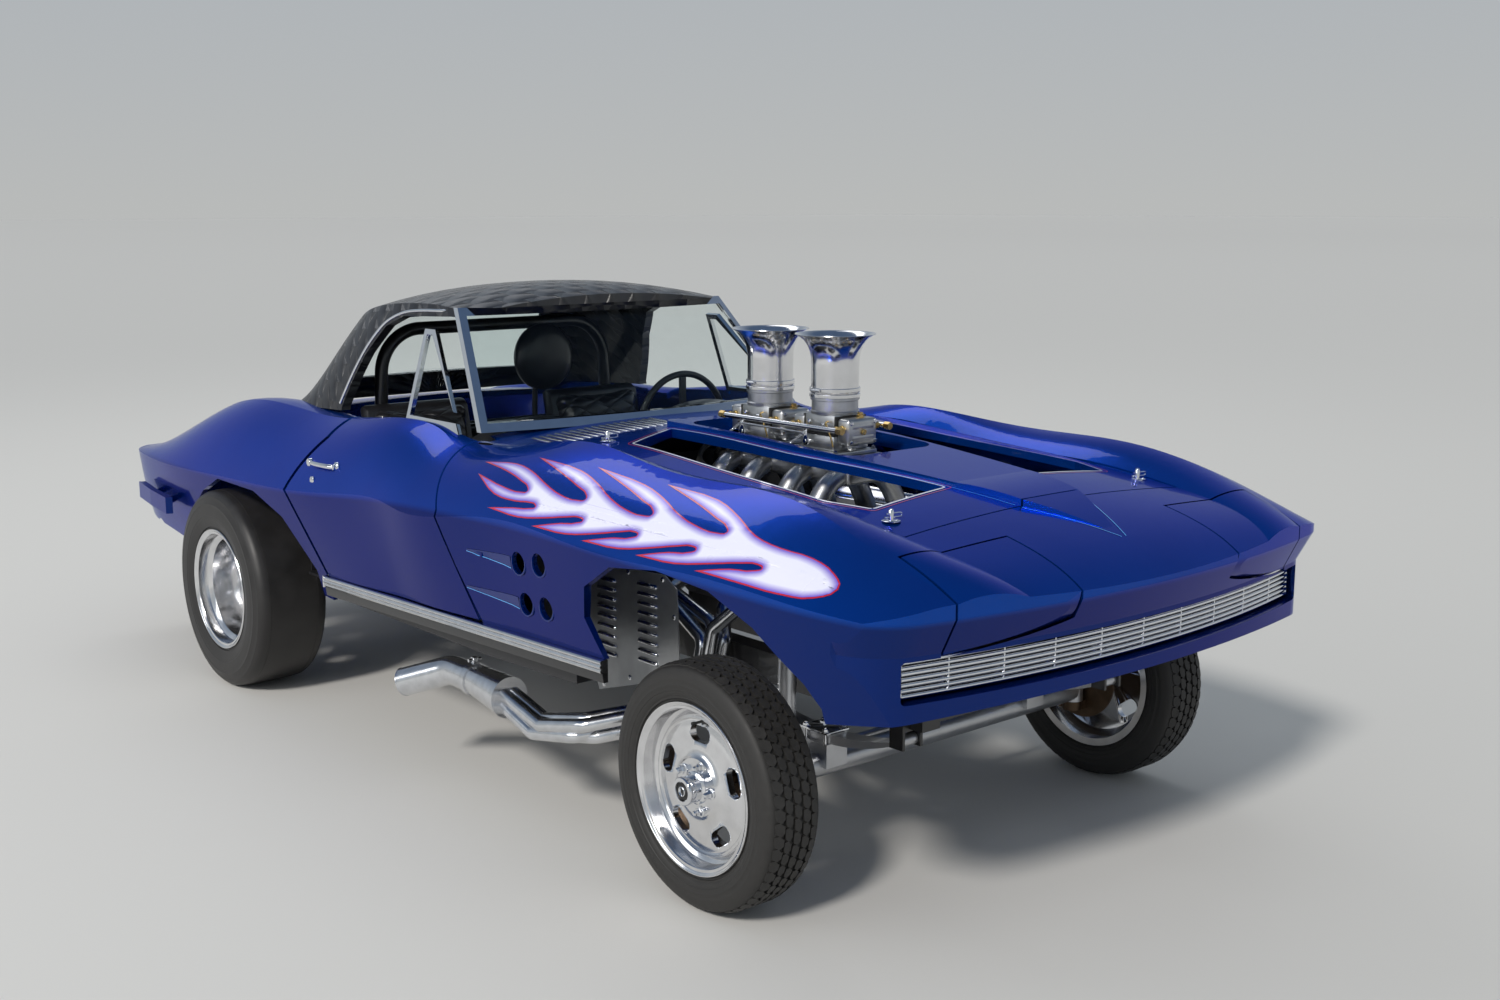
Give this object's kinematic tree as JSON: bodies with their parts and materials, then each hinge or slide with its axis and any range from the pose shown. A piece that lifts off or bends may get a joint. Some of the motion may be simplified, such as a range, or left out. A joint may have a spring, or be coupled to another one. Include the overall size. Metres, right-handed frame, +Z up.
{
  "type": "drag racing car",
  "caption": "Nose-high fibreglass two-seat drag racing car with a straight front axle, rear slicks, open carburettor stacks, fenderwell headers and a hardtop.",
  "frame": {"origin": "on the floor, at the centre of the whole car's bounding box", "axes": "+X to the car's left, -Y to the nose, +Z up"},
  "size_m": [1.8004, 4.45, 1.4063],
  "materials": {
    "body_paint": "candy blue clear coat",
    "roof_trim": "tooled black upholstery",
    "chrome": "polished",
    "polished_aluminium": "polished",
    "brushed_aluminium": "satin",
    "black_frame": "semi-gloss black",
    "silver_paint": "silver paint",
    "engine_paint": "dark",
    "trim_black": "black trim",
    "glass": "clear, faint tint",
    "tyre": "rubber",
    "floor_paint": "blue interior paint"
  },
  "bodies": {
    "chassis": {"frame": "black_frame", "floor": "floor_paint", "front_body": "body_paint", "rear_body": "body_paint", "hardtop": "roof_trim", "windshield_frame": "chrome", "window_glass": "glass", "dash": "trim_black", "seats": "trim_black", "roll_bar": "black_frame", "engine_block": "engine_paint", "valve_covers": "polished_aluminium", "intake_manifold": "brushed_aluminium", "carburettors": "brushed_aluminium", "velocity_stacks": "polished_aluminium", "radiator": "engine_paint", "headers": "polished_aluminium", "fender_panels": "brushed_aluminium", "rocker_mouldings": "chrome", "grille": "chrome", "bumperettes": "body_paint", "front_axle": "silver_paint", "front_springs": "silver_paint", "shock_absorbers": "silver_paint", "rear_axle": "black_frame", "ladder_bars": "black_frame"},
    "door_right": {"door_right": "body_paint", "vent_window_right": "chrome"},
    "door_left": {"door_left": "body_paint", "vent_window_left": "chrome"},
    "hood": {"hood": "body_paint"},
    "headlamp_pod_right": {"headlamp_pod_right": "body_paint"},
    "headlamp_pod_left": {"headlamp_pod_left": "body_paint"},
    "knuckle_right": {"knuckle_right": "engine_paint"},
    "knuckle_left": {"knuckle_left": "engine_paint"},
    "tie_rod": {"tie_rod": "silver_paint"},
    "steering_wheel": {"steering_wheel": "trim_black"},
    "wheel_front_right": {"wheel_front_right": "polished_aluminium", "tyre_front_right": "tyre"},
    "wheel_front_left": {"wheel_front_left": "polished_aluminium", "tyre_front_left": "tyre"},
    "wheel_rear_right": {"wheel_rear_right": "polished_aluminium", "tyre_rear_right": "tyre"},
    "wheel_rear_left": {"wheel_rear_left": "polished_aluminium", "tyre_rear_left": "tyre"}
  },
  "joints": [
    {"name": "door_right_hinge", "type": "hinge", "parent": "chassis", "child": "door_right", "pos_m": [-0.846, -0.65, 0.75], "axis": [0, 0, 1], "range_deg": [0, 55]},
    {"name": "door_left_hinge", "type": "hinge", "parent": "chassis", "child": "door_left", "pos_m": [0.846, -0.65, 0.75], "axis": [0, 0, -1], "range_deg": [0, 55]},
    {"name": "hood_lift", "type": "slide", "parent": "chassis", "child": "hood", "axis": [0, 0, 1], "range_m": [0, 0.42]},
    {"name": "headlamp_right_turn", "type": "hinge", "parent": "chassis", "child": "headlamp_pod_right", "pos_m": [-0.467, -2.088, 0.845], "axis": [1, 0, 0], "range_deg": [0, 180]},
    {"name": "headlamp_left_turn", "type": "hinge", "parent": "chassis", "child": "headlamp_pod_left", "pos_m": [0.467, -2.088, 0.845], "axis": [1, 0, 0], "range_deg": [0, 180]},
    {"name": "steer_right", "type": "hinge", "parent": "chassis", "child": "knuckle_right", "pos_m": [-0.6, -1.485, 0.272], "axis": [0, 0, 1], "range_deg": [-24, 24]},
    {"name": "steer_left", "type": "hinge", "parent": "chassis", "child": "knuckle_left", "pos_m": [0.6, -1.485, 0.272], "axis": [0, 0, 1], "range_deg": [-24, 24]},
    {"name": "tie_rod_turn", "type": "hinge", "parent": "knuckle_right", "child": "tie_rod", "pos_m": [-0.6, -1.35, 0.25], "axis": [0, 0, 1], "range_deg": [-24, 24]},
    {"name": "steering_wheel_turn", "type": "hinge", "parent": "chassis", "child": "steering_wheel", "pos_m": [0.36, 0.03, 0.905], "axis": [0, 1, 0], "range_deg": [-336, 336]},
    {"name": "wheel_front_right_spin", "type": "hinge", "parent": "knuckle_right", "child": "wheel_front_right", "pos_m": [-0.7375, -1.485, 0.302], "axis": [1, 0, 0], "continuous": true},
    {"name": "wheel_front_left_spin", "type": "hinge", "parent": "knuckle_left", "child": "wheel_front_left", "pos_m": [0.7375, -1.485, 0.302], "axis": [1, 0, 0], "continuous": true},
    {"name": "wheel_rear_right_spin", "type": "hinge", "parent": "chassis", "child": "wheel_rear_right", "pos_m": [-0.77, 1.045, 0.345], "axis": [1, 0, 0], "continuous": true},
    {"name": "wheel_rear_left_spin", "type": "hinge", "parent": "chassis", "child": "wheel_rear_left", "pos_m": [0.77, 1.045, 0.345], "axis": [1, 0, 0], "continuous": true}
  ],
  "couplings": [
    {"joint": "steer_left", "follows": "steer_right", "ratio": 1},
    {"joint": "tie_rod_turn", "follows": "steer_right", "ratio": -1},
    {"joint": "steering_wheel_turn", "follows": "steer_right", "ratio": 14}
  ]
}
